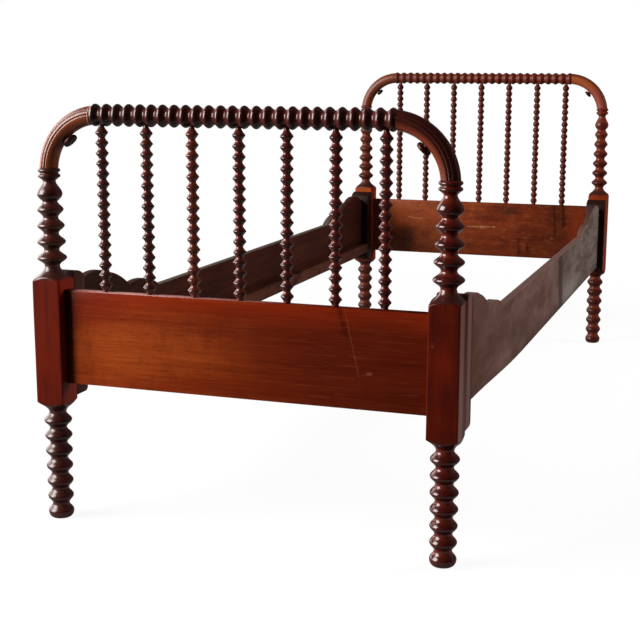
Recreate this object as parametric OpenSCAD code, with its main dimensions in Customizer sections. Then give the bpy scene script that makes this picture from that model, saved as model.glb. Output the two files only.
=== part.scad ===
// Narrow spool-turned bedstead: two turned ends joined by two lift-off side rails.
// Origin on the floor under the middle of the bed, +X to the right seen from the
// foot, +Y towards the headboard, +Z up. Millimetres.

/* [Bedstead] */
// Distance between the centres of the left and right posts
span_w = 748; // [640:1:1400]
// Distance between the centres of the foot and head posts
span_l = 1958; // [1600:1:2200]

/* [Post blocks] */
// Width of the square part of a post
post_w = 56; // [52:0.5:64]
// Height of the lower end of the square part at the foot
foot_block_z = 230; // [222:1:242]
// Height of the lower end of the square part at the head
head_block_z = 226; // [222:1:242]
// Height of the upper end of the square part
block_top_z = 458; // [452:1:477]
// Height of the turned shoulder above the square
shoulder_up = 27; // [20:1:34]

/* [Legs] */
// Number of rings turned on a leg
leg_rings = 7; // [5:1:7]
// Diameter of the top ring of a leg at the foot
foot_leg_top_d = 52; // [46:0.5:54]
// Diameter of the lowest ring of a leg at the foot
foot_leg_low_d = 48; // [42:0.5:52]
// Diameter of the top ring of a leg at the head
head_leg_top_d = 47.5; // [44:0.5:54]
// Diameter of the lowest ring of a leg at the head
head_leg_low_d = 44.5; // [41:0.5:52]
// Diameter of the necks between the leg rings
leg_neck_d = 31.5; // [26:0.5:36]
// Height of the centre of the lowest ring
leg_ring_z = 13; // [10:0.5:16]
// Height of the neck above the top ring
leg_top_z = 206.5; // [200:0.5:208]
// Diameter of the flat that stands on the floor
leg_pad_d = 30; // [20:1:38]

/* [Upper post of the footboard] */
// Number of rings above the square
foot_rings = 4; // [2:1:5]
// Diameter of the lowest ring above the square
foot_ring_low_d = 55; // [48:0.5:55.5]
// Diameter of the highest ring
foot_ring_high_d = 48; // [42:0.5:52]
// Diameter of the necks between the rings
foot_neck_d = 27.5; // [24:0.5:34]
// Height of the centre of the vase above the rings
foot_vase_z = 617; // [607:1:637]
// Diameter of the vase
foot_vase_d = 46; // [40:0.5:52]
// Height of the top of the post, where the elbow stands
foot_post_z = 665; // [659:1:673]

/* [Upper post of the headboard] */
// Number of rings above the square
head_rings = 6; // [4:1:7]
// Diameter of the lowest ring above the square
head_ring_low_d = 47.5; // [42:0.5:54]
// Diameter of the highest ring
head_ring_high_d = 38.5; // [34:0.5:46]
// Diameter of the necks between the rings
head_neck_d = 25; // [22:0.5:30]
// Height of the centre of the vase above the rings
head_vase_z = 673; // [665:1:687]
// Diameter of the vase
head_vase_d = 40; // [34:0.5:46]
// Height of the top of the post, where the elbow stands
head_post_z = 725; // [719:1:733]

/* [Neck and collars of a post] */
// Diameter of the slim neck above the foot's vase
foot_vase_neck_d = 22.5; // [20:0.5:26]
// Diameter of the slim neck above the head's vase
head_vase_neck_d = 20; // [18:0.5:24]
// Diameter of the two thin collars at the foot
foot_collar_d = 41; // [37:0.5:45]
// Diameter of the two thin collars at the head
head_collar_d = 36; // [34:0.5:42]
// Depth of the waist between the collars
waist_cut = 4.5; // [3:0.5:6]
// Height from one collar to the next
collar_gap = 10; // [8:0.5:12]
// Thickness of a collar at its rim
collar_rim = 2.4; // [1.6:0.1:3.2]

/* [Top rails] */
// Height of the axis of the footboard's top rail
foot_rail_z = 760.5; // [756:0.5:768]
// Height of the axis of the headboard's top rail
head_rail_z = 811.5; // [807:0.5:817]
// Distance from one ring to the next on the footboard rail
foot_ring_pitch = 22; // [20:0.1:22.5]
// Distance from one ring to the next on the headboard rail
head_ring_pitch = 21.8; // [20:0.1:22.5]
// Diameter of the rings on the footboard rail
foot_rail_d = 40.5; // [37:0.5:45]
// Diameter of the rings on the headboard rail
head_rail_d = 35.5; // [33:0.5:40]
// Diameter of the necks on the footboard rail
foot_rail_neck_d = 27; // [24:0.5:32]
// Diameter of the necks on the headboard rail
head_rail_neck_d = 26; // [24:0.5:29]

/* [Elbows] */
// Radius of the footboard elbows' bend on the centreline
foot_elbow_r = 103.5; // [98:0.5:107]
// Radius of the headboard elbows' bend on the centreline
head_elbow_r = 102; // [98:0.5:105]
// Thickness of the footboard elbows
foot_elbow_d = 34; // [32:0.5:37]
// Thickness of the headboard elbows
head_elbow_d = 31; // [30:0.5:34]
// Radius of the quirks that cut the reeds on the show face
quirk_r = 1.5; // [1:0.1:2]
// Diameter of the buttons on the footboard elbows
foot_button_d = 28; // [24:0.5:32]
// Diameter of the buttons on the headboard elbows
head_button_d = 21; // [18:0.5:26]
// Thickness of a button
button_t = 7; // [5:0.5:9]
// Bare stem of a button between the elbow and its underside
button_stem = 2.5; // [1.5:0.5:4]
// Diameter of a button's stem
stem_d = 10; // [8:0.5:12]

/* [Spindles] */
// Number of spindles in each end
spindles = 7; // [7:1:7]
// Ring pitches from one spindle to the next
spindle_step = 4; // [4:1:4]
// Beads on a footboard spindle
foot_beads = 16; // [14:1:18]
// Beads on a headboard spindle
head_beads = 20; // [18:1:22]
// Diameter of the sharp beads of the footboard
foot_bead_d = 25; // [21:0.5:27]
// Diameter of the round beads of the headboard
head_bead_d = 20.5; // [17:0.5:22]
// Diameter of the necks between beads
bead_neck_d = 11.5; // [10.5:0.5:13]
// Distance from the footboard rail's axis to the top of the first bead
foot_bead_drop = 21.5; // [21:0.5:26]
// Distance from the headboard rail's axis to the top of the first bead
head_bead_drop = 19.5; // [19:0.5:24]
// Height of the plain foot of a spindle
spindle_foot = 3; // [1:0.5:5]
// Diameter of the plain foot of a spindle
spindle_foot_d = 14; // [12:0.5:16]
// Diameter of the round tenons of a spindle
spindle_tenon_d = 10; // [8:0.5:10]
// Length of the lower tenon in the panel
spindle_tenon = 16; // [12:1:20]
// Height of the upper tenon above the underside of the rail's neck
spindle_peg = 12; // [8:1:15]

/* [Panels] */
// Height of the lower edge of the footboard panel
foot_panel_z = 266; // [262:1:272]
// Height of the upper edge of the footboard panel
foot_panel_top_z = 442.5; // [437:0.5:447]
// Height of the lower edge of the headboard panel
head_panel_z = 258; // [253:1:267]
// Height of the upper edge of the headboard panel
head_panel_top_z = 425.5; // [421:0.5:437]
// Thickness of a panel
panel_t = 18; // [16:0.5:22]
// Thickness of the tenons on a panel
panel_tenon_t = 12; // [9:0.5:13]
// Length of the tenons on a panel
panel_tenon = 20; // [14:1:22]
// Shoulder above and below a tenon
panel_shoulder = 16; // [10:1:24]
// Diameter of the pegs that pin a tenon
peg_d = 8; // [6:0.5:9]
// Distance from the panel's middle height to a peg
peg_rise = 40; // [30:1:48]
// Length of a peg, from the post's show face
peg_l = 38; // [34:1:42]

/* [Side rails] */
// Thickness of a side rail
side_t = 18; // [16:0.5:24]
// Distance that a rail's middle stands outside the post's centre
side_out = 2; // [0:0.5:5]
// Height of the rail's straight upper edge
side_top_z = 383; // [375:1:393]
// Height of the rail's straight lower edge
side_z = 245; // [239:1:253]
// Rise of the lower edge towards the footboard
side_low_rise = 16; // [0:1:24]
// Length over which the lower edge rises
side_low_run = 580; // [300:10:800]

/* [Scrolls of the side rails] */
// Height of the rail's edge at the foot block, over the straight edge
foot_scroll_h = 48; // [42:1:54]
// Distance from the foot post's centre to the first notch
foot_notch_1 = 205; // [190:5:220]
// Height of the first notch at the foot, over the straight edge
foot_notch_1_h = 60; // [54:1:66]
// Distance from the foot post's centre to the second notch
foot_notch_2 = 290; // [275:5:310]
// Height of the second notch at the foot, over the straight edge
foot_notch_2_h = 21; // [15:1:27]
// Length of the scroll at the foot, from the post's centre
foot_scroll_l = 428; // [400:1:460]
// Height of the rail's edge at the head block, over the straight edge
head_scroll_h = 40; // [34:1:46]
// Distance from the head post's centre to the first notch
head_notch_1 = 200; // [185:5:215]
// Height of the first notch at the head, over the straight edge
head_notch_1_h = 48; // [42:1:54]
// Distance from the head post's centre to the second notch
head_notch_2 = 280; // [265:5:300]
// Height of the second notch at the head, over the straight edge
head_notch_2_h = 17; // [12:1:24]
// Length of the scroll at the head, from the post's centre
head_scroll_l = 405; // [380:1:440]
// Bulge of the lobe next to the post
lobe_1 = 16; // [13:1:19]
// Bulge of the middle lobe
lobe_2 = 5; // [3:1:8]
// Bulge of the last lobe
lobe_3 = 13; // [10:1:16]

/* [Rail end blocks] */
// Depth of a block along the rail
end_block_l = 39; // [34:1:46]
// Height of the lower end of a block
end_block_z = 235; // [232:1:239]
// Height of a foot block's low edge over the rail's edge beside it
foot_block_over = 28; // [22:1:34]
// Height of a head block's low edge over the rail's edge beside it
head_block_over = 14; // [8:1:20]
// Fall of a block's top from the post to its low edge
end_block_fall = 12; // [6:1:16]
// Bulge of a block's round top
end_block_crown = 5; // [3:1:9]
// Radius of a block's lower corner
end_block_corner = 9; // [4:1:12]
// Length of the rail's tongue in a block
tongue = 9; // [6:1:10]
// Thickness of the rail's tongue
tongue_t = 10; // [8:0.5:12]
// Rail left above and below the tongue
tongue_shoulder = 20; // [14:1:30]

/* [Bed irons] */
// Thickness of a hook plate
iron_t = 4; // [3:0.5:5]
// Height of the plate's lower end
iron_z = 297; // [287:1:305]
// Height of a hook plate
iron_h = 140; // [130:1:150]
// Depth of the plate in the end block
iron_depth = 25; // [22:1:27]
// Height of the lower cross pin
pin_z = 327; // [323:1:333]
// Distance from one cross pin to the other
pin_gap = 80; // [70:1:86]
// Diameter of a cross pin
pin_d = 6; // [5:0.5:8]
// Distance from the post's back face to a pin's centre
pin_depth = 14; // [12:0.5:16]
// Length of a cross pin
pin_l = 42; // [40:1:46]
// Width of the slot in the post
slot_w = 6; // [5.6:0.2:8]
// Height that a rail lifts to leave the pins
lift = 14; // [12:1:16]
// Diameter of a hook plate's rivets
rivet_d = 4; // [3:0.5:5]
// Length of a rivet past the hook plate's outer face
rivet_out = 5.5; // [5:0.5:7]

/* [Slat cleats] */
// Width of a cleat
cleat_w = 22; // [18:1:28]
// Height of a cleat
cleat_h = 28; // [22:1:36]
// Height of the cleat's upper face, where the slats lie
cleat_top_z = 287; // [281:1:297]
// Gap between a cleat and the end blocks
cleat_gap = 2; // [1:1:20]
// Number of screws in a cleat
cleat_screws = 6; // [4:1:9]
// Diameter of a cleat screw
screw_d = 5; // [4:0.5:6]
// Length of a cleat screw
screw_l = 32; // [28:1:36]

/* [Fits] */
// Clearance round a tenon in its mortise or bore
fit = 0.15; // [0.1:0.05:0.3]
// Gap between parts that slide past each other
slide_gap = 0.4; // [0.3:0.1:0.8]

/* [Hidden] */
ENDS = ["foot", "head"];
SIDES = ["left", "right"];

// Rings per rail: one on each side of every spindle and of every gap between them
rail_rings = (spindles - 1) * spindle_step + 2;
// Steps that draw one ring or one bead
ring_steps = 10;
bead_steps = 6;
half_w = span_w / 2;
half_post = post_w / 2;
// Radius that clears the corners of the square part
corner_r = half_post * sqrt(2) + 0.4;
dowel_r = 8;
dowel_l = 24;
rail_tenon_r = 7;
rail_tenon_l = 18;
side_x = half_w + side_out;
block_start = half_post + slide_gap;
block_end = block_start + end_block_l;
pin_y = half_post - pin_depth;
hook_end = 6;
hook_up = 12;
hook_down = 10;
wood = [0.33, 0.10, 0.07];
dark_wood = [0.22, 0.08, 0.06];
panel_wood = [0.55, 0.22, 0.10];
rail_wood = [0.34, 0.22, 0.19];
iron = [0.25, 0.24, 0.23];
peg_wood = [0.12, 0.04, 0.03];

// ---- Turned profiles --------------------------------------------------------

// Swell of a ring at a place from -0.5 to 0.5 across it: 0 in the neck, 1 on the rim
function round_swell(s, sharp) = pow(pow(cos(180 * s), 2), sharp);
function keen_swell(s, sharp) = pow(1 - abs(2 * s), sharp);

// Half outline of a row of rings from height z0 to z1, the rims going from r0 to r1
function ring_row(z0, z1, count, r0, r1, neck_r, sharp) = [
    for (k = [0 : count - 1], i = [0 : ring_steps - 1])
        let (s = i / ring_steps - 0.5, rim_r = r0 + (r1 - r0) * (count > 1 ? k / (count - 1) : 0))
        [neck_r + (rim_r - neck_r) * round_swell(s, sharp), z0 + (z1 - z0) * (k + 0.5 + s) / count]
];

// Half outline of a shoulder that flows from radius r0 at z0 into radius r1 at z1
function shoulder(z0, z1, r0, r1, steps = 6) = [
    for (i = [0 : steps])
        [r1 + (r0 - r1) * (1 - sin(90 * i / steps)), z0 + (z1 - z0) * i / steps]
];

// Half outline of a leg, from the floor up to the square part
function leg_outline(top_d, low_d, block_z) =
    let (
        pitch = (leg_top_z - leg_ring_z) / (leg_rings - 0.5),
        low_r = low_d / 2,
        pad_r = leg_pad_d / 2,
        row = ring_row(leg_ring_z - pitch / 2, leg_top_z, leg_rings, low_r, top_d / 2,
            leg_neck_d / 2, 1.05)
    )
    concat(
        [[0, 0], [pad_r, 0]],
        [for (a = [25 : 20 : 85]) [pad_r + (low_r - pad_r) * sin(a), leg_ring_z * (1 - cos(a))]],
        [for (p = row) if (p[1] >= leg_ring_z - 0.01) p],
        [for (i = [6 : -1 : 0])
            shoulder(block_z, leg_top_z, corner_r, leg_neck_d / 2)[i]]
    );

// Half outline of a vase: a full body under a long neck
function vase(z0, z1, z2, body_r, foot_r, neck_r) = concat(
    [for (i = [0 : 5]) [foot_r + (body_r - foot_r) * sin(90 * i / 5), z0 + (z1 - z0) * i / 5]],
    [for (i = [1 : 8]) [neck_r + (body_r - neck_r) * (1 + cos(180 * i / 8)) / 2, z1 + (z2 - z1) * i / 8]]
);

// Half outline of one collar, its rim at height z
function collar(z, rim_r) = [
    [rim_r - waist_cut, z - collar_gap * 0.38],
    [rim_r - 0.6, z - collar_rim / 2],
    [rim_r, z - collar_rim / 4],
    [rim_r, z + collar_rim / 4],
    [rim_r - 0.6, z + collar_rim / 2],
    [rim_r - waist_cut, z + collar_gap * 0.38]
];

// Half outline of a post above its square part
function upper_outline(end, rings, low_d, high_d, neck_d, vase_z, vase_d) =
    let (
        top_z = post_top(end),
        stump_r = elbow_d(end) / 2 - 0.5,
        vase_neck_d = end == "foot" ? foot_vase_neck_d : head_vase_neck_d,
        collar_r = (end == "foot" ? foot_collar_d : head_collar_d) / 2,
        neck_z = block_top_z + shoulder_up,
        high_z = top_z - collar_gap / 2,
        low_z = high_z - collar_gap,
        pitch = (vase_z - neck_z) / (rings + 0.45)
    )
    concat(
        shoulder(block_top_z, neck_z, corner_r, neck_d / 2),
        ring_row(neck_z, neck_z + rings * pitch, rings, low_d / 2, high_d / 2, neck_d / 2, 1.15),
        vase(neck_z + rings * pitch, vase_z, low_z - collar_gap * 0.8,
            vase_d / 2, neck_d / 2 - 0.4, vase_neck_d / 2),
        collar(low_z, collar_r),
        collar(high_z, collar_r),
        [[stump_r, high_z + collar_gap * 0.45], [stump_r, top_z]],
        [[dowel_r, top_z], [dowel_r, top_z + dowel_l - 1]],
        [[dowel_r - 1, top_z + dowel_l], [0, top_z + dowel_l]]
    );

// ---- Placing ----------------------------------------------------------------

// Drawn at the footboard's right-hand corner: +X out of the bed, +Y into it
module at_corner(end, side) {
    translate([0, end == "foot" ? -span_l / 2 : span_l / 2, 0])
        mirror([0, end == "foot" ? 0 : 1, 0])
            mirror([side == "left" ? 1 : 0, 0, 0])
                children();
}

// Turns an outline in Y and Z into a board of a given thickness centred on x
module board(x, thickness) {
    translate([x - thickness / 2, 0, 0])
        rotate([90, 0, 90])
            linear_extrude(thickness)
                children();
}

module bore_x(x0, x1, y, z, r) {
    translate([x0, y, z])
        rotate([0, 90, 0])
            cylinder(h = x1 - x0, r = r, $fn = 32);
}

module bore_y(x, y0, y1, z, r) {
    translate([x, y0, z])
        rotate([-90, 0, 0])
            cylinder(h = y1 - y0, r = r, $fn = 32);
}

module bore_z(x, y, z0, z1, r) {
    translate([x, y, z0])
        cylinder(h = z1 - z0, r = r, $fn = 32);
}

// ---- Posts ------------------------------------------------------------------

function panel_low(end) = end == "foot" ? foot_panel_z : head_panel_z;
function panel_high(end) = end == "foot" ? foot_panel_top_z : head_panel_top_z;
function peg_z(end, k) = (panel_low(end) + panel_high(end)) / 2 + k * peg_rise;
function post_top(end) = end == "foot" ? foot_post_z : head_post_z;
function rail_z(end) = end == "foot" ? foot_rail_z : head_rail_z;
function elbow_r(end) = end == "foot" ? foot_elbow_r : head_elbow_r;
function elbow_d(end) = end == "foot" ? foot_elbow_d : head_elbow_d;
peg_x = half_w - half_post + panel_tenon / 2;

module post_turning(end) {
    rotate_extrude($fn = 48)
        polygon(concat(
            end == "foot"
                ? leg_outline(foot_leg_top_d, foot_leg_low_d, foot_block_z)
                : leg_outline(head_leg_top_d, head_leg_low_d, head_block_z),
            end == "foot"
                ? upper_outline(end, foot_rings, foot_ring_low_d, foot_ring_high_d, foot_neck_d,
                    foot_vase_z, foot_vase_d)
                : upper_outline(end, head_rings, head_ring_low_d, head_ring_high_d, head_neck_d,
                    head_vase_z, head_vase_d)
        ));
}

// A square billet, turned except where the panel and the rail are joined to it
module post(end, side) {
    color(wood) at_corner(end, side) difference() {
        translate([half_w, 0, 0])
            intersection() {
                post_turning(end);
                translate([-half_post, -half_post, -1])
                    cube([post_w, post_w, post_top(end) + dowel_l + 2]);
            }
        panel_mortise(end);
        hook_slot();
        for (k = [0, 1])
            bore_x(half_w - half_post - 1, half_w - half_post + pin_l, pin_y, pin_z + k * pin_gap, pin_d / 2);
        for (k = [-1, 1])
            bore_y(peg_x, -half_post - 1, -half_post + peg_l, peg_z(end, k), peg_d / 2);
    }
}

module panel_mortise(end) {
    translate([half_w - half_post - 1, -panel_tenon_t / 2 - fit, panel_low(end) + panel_shoulder - fit])
        cube([panel_tenon + 1.5, panel_tenon_t + 2 * fit,
            panel_high(end) - panel_low(end) - 2 * panel_shoulder + 2 * fit]);
}

// The narrow slot in the post's back face that the hooks of a bed iron drop into
module hook_slot() {
    slot_z = pin_z - hook_down - 1;
    slot_top = pin_z + pin_gap + hook_up + lift + 1;
    translate([side_x - slot_w / 2, hook_end - 1, slot_z])
        cube([slot_w, half_post - hook_end + 2, slot_top - slot_z]);
}

// ---- Elbows and buttons -----------------------------------------------------

rail_end_foot = rail_rings * foot_ring_pitch / 2;
rail_end_head = rail_rings * head_ring_pitch / 2;
function rail_end(end) = end == "foot" ? rail_end_foot : rail_end_head;

// Round section with two reeds between three quirks on the footboard's show face
module elbow_section(end) {
    difference() {
        circle(d = elbow_d(end), $fn = 48);
        if (end == "foot")
            for (a = [57, 73.5, 90])
                rotate(a)
                    translate([elbow_d(end) / 2 + 0.3, 0])
                        circle(r = quirk_r, $fn = 16);
    }
}

module elbow(end, side) {
    bend_r = elbow_r(end);
    thick = elbow_d(end);
    color(wood) at_corner(end, side) difference() {
        intersection() {
            translate([half_w - bend_r, 0, rail_z(end) - bend_r])
                rotate([90, 0, 0])
                    rotate_extrude(angle = 90, $fn = 96)
                        translate([bend_r, 0])
                            elbow_section(end);
            translate([rail_end(end), -thick, post_top(end)])
                cube([half_w + thick - rail_end(end), 2 * thick, bend_r + thick]);
        }
        bore_z(half_w, 0, post_top(end) - 1, post_top(end) + dowel_l + 0.5, dowel_r + fit);
        bore_x(rail_end(end) - 1, rail_end(end) + rail_tenon_l + 0.5, 0, rail_z(end), rail_tenon_r + fit);
        button_place(end)
            cylinder(h = thick, r = stem_d / 2 + fit, $fn = 32);
    }
}

// Moves to the middle of the elbow, +Z towards the centre of its bend
module button_place(end) {
    inset = elbow_r(end) * (1 - cos(45));
    translate([half_w - inset, 0, rail_z(end) - inset])
        rotate([0, -135, 0])
            children();
}

// A turned button on a short stem, glued into the inside of the bend
module button(end, side) {
    rim_r = (end == "foot" ? foot_button_d : head_button_d) / 2;
    under_z = elbow_d(end) / 2 + button_stem;
    edge = button_t / 2;
    color(dark_wood) at_corner(end, side) button_place(end)
        rotate_extrude($fn = 48)
            polygon(concat(
                [[0, 1], [stem_d / 2, 1], [stem_d / 2, under_z]],
                [for (a = [-90 : 22.5 : 90])
                    [rim_r - edge * 0.6 + edge * 0.6 * cos(a), under_z + edge + edge * sin(a)]],
                [[rim_r * 0.45, under_z + button_t + 0.8], [0, under_z + button_t + 1]]
            ));
}

// ---- Top rails --------------------------------------------------------------

function rail_neck_r(end) = (end == "foot" ? foot_rail_neck_d : head_rail_neck_d) / 2;
function ring_pitch(end) = end == "foot" ? foot_ring_pitch : head_ring_pitch;
function spindle_x(end, k) = (k - (spindles + 1) / 2) * spindle_step * ring_pitch(end);
// Top of a spindle, inside the rail
function spindle_top(end) = rail_z(end) - rail_neck_r(end) + spindle_peg;

module top_rail(end) {
    rim_r = (end == "foot" ? foot_rail_d : head_rail_d) / 2;
    reach = rail_end(end);
    color(dark_wood) at_corner(end, "right") difference() {
        translate([0, 0, rail_z(end)])
            rotate([0, 90, 0])
                rotate_extrude($fn = 48)
                    polygon(concat(
                        [[0, -reach - rail_tenon_l], [rail_tenon_r, -reach - rail_tenon_l]],
                        [[rail_tenon_r, -reach]],
                        ring_row(-reach, reach, rail_rings, rim_r, rim_r, rail_neck_r(end), 0.95),
                        [[rail_neck_r(end), reach], [rail_tenon_r, reach]],
                        [[rail_tenon_r, reach + rail_tenon_l], [0, reach + rail_tenon_l]]
                    ));
        for (k = [1 : spindles])
            bore_z(spindle_x(end, k), 0, rail_z(end) - rim_r - 1, spindle_top(end) + 0.5,
                spindle_tenon_d / 2 + fit);
    }
}

// ---- Spindles ---------------------------------------------------------------

function bead_swell(end, s) = end == "foot" ? keen_swell(s, 1.25) : round_swell(s, 0.75);

// A bobbin spindle, driven up into the rail's neck and down into the panel's edge
module spindle(end, k) {
    beads = end == "foot" ? foot_beads : head_beads;
    rim_r = (end == "foot" ? foot_bead_d : head_bead_d) / 2;
    neck_r = bead_neck_d / 2;
    tenon_r = spindle_tenon_d / 2;
    low_z = panel_high(end) + spindle_foot;
    high_z = rail_z(end) - (end == "foot" ? foot_bead_drop : head_bead_drop);
    color(wood) at_corner(end, "right") translate([spindle_x(end, k), 0, 0])
        rotate_extrude($fn = 40)
            polygon(concat(
                [[0, panel_high(end) - spindle_tenon], [tenon_r, panel_high(end) - spindle_tenon]],
                [[tenon_r, panel_high(end)], [spindle_foot_d / 2, panel_high(end)]],
                [[spindle_foot_d / 2, panel_high(end) + spindle_foot * 0.7]],
                [for (b = [0 : beads - 1], i = [0 : bead_steps - 1])
                    let (s = i / bead_steps - 0.5)
                    [neck_r + (rim_r - neck_r) * bead_swell(end, s),
                        low_z + (high_z - low_z) * (b + 0.5 + s) / beads]],
                [[neck_r, high_z], [tenon_r, high_z + 1.5]],
                [[tenon_r, spindle_top(end)], [0, spindle_top(end)]]
            ));
}

// ---- Panels -----------------------------------------------------------------

// A wide board tenoned into the posts, with bored upper edge for the spindles
module panel(end) {
    low = panel_low(end);
    high = panel_high(end);
    inside = half_w - half_post;
    color(panel_wood) at_corner(end, "right") difference() {
        union() {
            translate([-inside, -panel_t / 2, low])
                cube([2 * inside, panel_t, high - low]);
            translate([-inside - panel_tenon, -panel_tenon_t / 2, low + panel_shoulder])
                cube([2 * (inside + panel_tenon), panel_tenon_t, high - low - 2 * panel_shoulder]);
        }
        for (k = [1 : spindles])
            bore_z(spindle_x(end, k), 0, high - spindle_tenon - 0.5, high + 1, spindle_tenon_d / 2 + fit);
        for (x = [-peg_x, peg_x], k = [-1, 1])
            bore_y(x, -panel_t, panel_t, peg_z(end, k), peg_d / 2 + fit);
    }
}

// The wooden pegs that pin the panel's tenons, flush with the show face
module panel_pegs(end) {
    color(peg_wood)
        for (side = SIDES, k = [-1, 1])
            at_corner(end, side)
                bore_y(peg_x, -half_post, -half_post + peg_l - 0.5, peg_z(end, k), peg_d / 2 - fit);
}

// The iron pins across the slots that the hooks bear on
module hook_pins(end) {
    color(iron)
        for (side = SIDES, k = [0, 1])
            at_corner(end, side)
                bore_x(half_w - half_post + 0.5, half_w - half_post + pin_l - 0.5, pin_y,
                    pin_z + k * pin_gap, pin_d / 2 - fit / 2);
}

// ---- Side rails -------------------------------------------------------------

function scroll_h(end) = end == "foot" ? foot_scroll_h : head_scroll_h;

// Points of an arc that bulges by sag over the chord from a to b, without b
function lobe(a, b, sag, steps = 8) = [
    for (i = [0 : steps - 1])
        let (t = i / steps, way = b - a, bulge = 4 * sag * t * (1 - t) / norm(way))
        [a[0] + way[0] * t - way[1] * bulge, a[1] + way[1] * t + way[0] * bulge]
];

// Three lobes of one end's upper edge, from the end block in to the straight edge
function scroll_edge(end) =
    let (
        foot = end == "foot",
        z = side_top_z,
        notch_1 = foot ? [foot_notch_1, z + foot_notch_1_h] : [head_notch_1, z + head_notch_1_h],
        notch_2 = foot ? [foot_notch_2, z + foot_notch_2_h] : [head_notch_2, z + head_notch_2_h],
        last = [foot ? foot_scroll_l : head_scroll_l, z]
    )
    concat(
        lobe([block_end, z + scroll_h(end)], notch_1, lobe_1),
        lobe(notch_1, notch_2, lobe_2),
        lobe(notch_2, last, lobe_3),
        [last]
    );

// The far end's points run the other way along the rail
function far(points) = [for (i = [len(points) - 1 : -1 : 0]) [span_l - points[i][0], points[i][1]]];

module rail_outline() {
    polygon(concat(
        [[block_end, side_z + side_low_rise]],
        scroll_edge("foot"),
        far(scroll_edge("head")),
        [[span_l - block_end, side_z]],
        [for (i = [8 : -1 : 1])
            [block_end + side_low_run * i / 8, side_z + side_low_rise * (1 + cos(180 * i / 8)) / 2]]
    ));
}

module tongue_outline(end, play) {
    low = (end == "foot" ? side_z + side_low_rise : side_z) + tongue_shoulder;
    high = side_top_z + scroll_h(end) - tongue_shoulder;
    translate([block_end - tongue - play, low - play])
        square([tongue + play + 1, high - low + 2 * play]);
}

// A long board with scrolled ends and a tongue at each end
module side_rail(side) {
    color(rail_wood) {
        difference() {
            union() {
                at_corner("foot", side)
                    board(side_x, side_t)
                        rail_outline();
                for (end = ENDS)
                    at_corner(end, side)
                        board(side_x, tongue_t)
                            tongue_outline(end, 0);
            }
            for (k = [1 : cleat_screws])
                at_corner("foot", side)
                    screw_hole(k);
        }
    }
}

// The full-width block at a rail's end, round on top, slotted for the bed iron
module end_block(side, end) {
    crown_z = side_top_z + scroll_h(end) + (end == "foot" ? foot_block_over : head_block_over);
    inside = half_w - half_post;
    color(rail_wood) at_corner(end, side) difference() {
        board(half_w, post_w)
            polygon(concat(
                [[block_start, end_block_z]],
                lobe([block_start, crown_z + end_block_fall], [block_end, crown_z], end_block_crown),
                [[block_end, crown_z], [block_end, end_block_z + end_block_corner]],
                [for (a = [15 : 15 : 90])
                    [block_end - end_block_corner * (1 - cos(a)),
                        end_block_z + end_block_corner * (1 - sin(a))]]
            ));
        board(side_x, tongue_t + 2 * fit)
            tongue_outline(end, fit);
        translate([side_x - iron_t / 2 - fit, 0, iron_z - fit])
            cube([iron_t + 2 * fit, block_start + iron_depth + fit, iron_h + 2 * fit]);
        for (k = [0 : 2])
            bore_x(inside - 1, side_x + iron_t / 2 + rivet_out + fit, rivet_y, rivet_z(k), rivet_d / 2 + fit);
    }
}

rivet_y = block_start + iron_depth * 0.55;
function rivet_z(k) = iron_z + iron_h * (0.15 + 0.35 * k);

// A hook plate: let into the end block, its two hooks drop over the post's pins
module hook_plate(side, end) {
    color(iron) at_corner(end, side) difference() {
        board(side_x, iron_t) {
            difference() {
                union() {
                    translate([block_start, iron_z])
                        square([iron_depth, iron_h]);
                    for (k = [0, 1])
                        translate([hook_end, pin_z + k * pin_gap - hook_down])
                            square([block_start - hook_end + 1, hook_up + hook_down]);
                }
                for (k = [0, 1])
                    translate([pin_y, pin_z + k * pin_gap]) {
                        circle(r = pin_d / 2 + slide_gap, $fn = 24);
                        translate([-pin_d / 2 - slide_gap, -hook_down - 1])
                            square([pin_d + 2 * slide_gap, hook_down + 1]);
                    }
            }
        }
        for (k = [0 : 2])
            bore_x(side_x - iron_t, side_x + iron_t, rivet_y, rivet_z(k), rivet_d / 2 + fit);
    }
}

// ---- Slat cleats and fixings ------------------------------------------------

cleat_start = block_end + cleat_gap;
side_face = side_x - side_t / 2;

module slat_cleat(side) {
    color(dark_wood) at_corner("foot", side) difference() {
        translate([side_face - cleat_w, cleat_start, cleat_top_z - cleat_h])
            cube([cleat_w, span_l - 2 * cleat_start, cleat_h]);
        for (k = [1 : cleat_screws])
            screw_hole(k);
    }
}

function screw_y(k) = cleat_start + (span_l - 2 * cleat_start) * (k - 0.5) / cleat_screws;

module screw_hole(k) {
    bore_x(side_face - cleat_w - 1, side_face - cleat_w + screw_l + 0.5, screw_y(k),
        cleat_top_z - cleat_h / 2, screw_d / 2 + fit);
}

// The screws of the cleat and the rivets of both hook plates
module rail_fixings(side) {
    color(iron) {
        for (k = [1 : cleat_screws])
            at_corner("foot", side)
                bore_x(side_face - cleat_w, side_face - cleat_w + screw_l, screw_y(k),
                    cleat_top_z - cleat_h / 2, screw_d / 2);
        for (end = ENDS, k = [0 : 2])
            at_corner(end, side)
                bore_x(half_w - half_post, side_x + iron_t / 2 + rivet_out, rivet_y, rivet_z(k), rivet_d / 2);
    }
}

// ---- The pieces -------------------------------------------------------------

for (end = ENDS) {
    for (side = SIDES) {
        post(end, side);
        elbow(end, side);
        button(end, side);
        end_block(side, end);
        hook_plate(side, end);
    }
    for (k = [1 : spindles])
        spindle(end, k);
    top_rail(end);
    panel(end);
    panel_pegs(end);
    hook_pins(end);
}
for (side = SIDES) {
    side_rail(side);
    slat_cleat(side);
    rail_fixings(side);
}
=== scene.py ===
# A spool-turned bedstead of stained and varnished hardwood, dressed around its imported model.
# The sections follow the bedstead as it is put together: the two ends, then the side rails, then the room.
import math

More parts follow.
